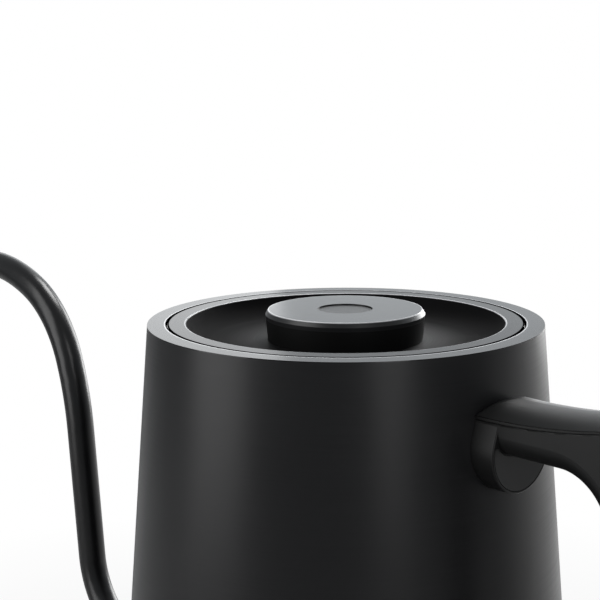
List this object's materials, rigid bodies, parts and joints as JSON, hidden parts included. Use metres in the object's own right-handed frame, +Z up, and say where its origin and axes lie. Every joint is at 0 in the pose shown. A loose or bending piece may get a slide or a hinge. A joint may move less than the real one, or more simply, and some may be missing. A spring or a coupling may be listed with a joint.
{
  "type": "gooseneck kettle",
  "caption": "Pour-over kettle with a tapered body, slim gooseneck spout, cantilevered open handle and a flush lift-off lid with a sunken round knob.",
  "frame": {"origin": "centre of the flat base", "axes": "+X along the handle, -X along the spout, +Z up"},
  "size_m": [0.2612, 0.1064, 0.1305],
  "materials": {
    "coated_steel": "satin black coating over brushed stainless steel",
    "coated_lid": "satin black coating, turned ring",
    "brushed_inside": "satin stainless steel",
    "base_steel": "brushed stainless steel",
    "aluminium_disc": "pressed",
    "handle_polymer": "fine moulded satin",
    "stamped_steel": "plain",
    "silicone": "matte",
    "knob_core": "matte black phenolic",
    "knob_plate": "satin black, turned"
  },
  "bodies": {
    "kettle": {"body_shell": "coated_steel", "mouth_collar": "brushed_inside", "inner_bottom": "brushed_inside", "heat_spreader": "aluminium_disc", "base_cap": "base_steel", "spout_tube": "coated_steel", "spout_root_collar": "coated_steel", "handle_shell": "handle_polymer", "handle_top_cover": "handle_polymer", "handle_bracket": "stamped_steel", "screw_cover_plug": "handle_polymer", "handle_screw_washer": "stamped_steel", "handle_screw": "stamped_steel", "tongue_screws": "stamped_steel"},
    "lid": {"lid_dish": "coated_lid", "lid_cup": "brushed_inside", "lid_seal": "silicone", "lid_knob": "knob_core", "knob_cap": "knob_plate", "knob_washer": "stamped_steel", "knob_screw": "stamped_steel"}
  },
  "joints": [
    {"name": "lid_lift", "type": "slide", "parent": "kettle", "child": "lid", "axis": [0, 0, 1], "range_m": [0, 0.04]}
  ]
}
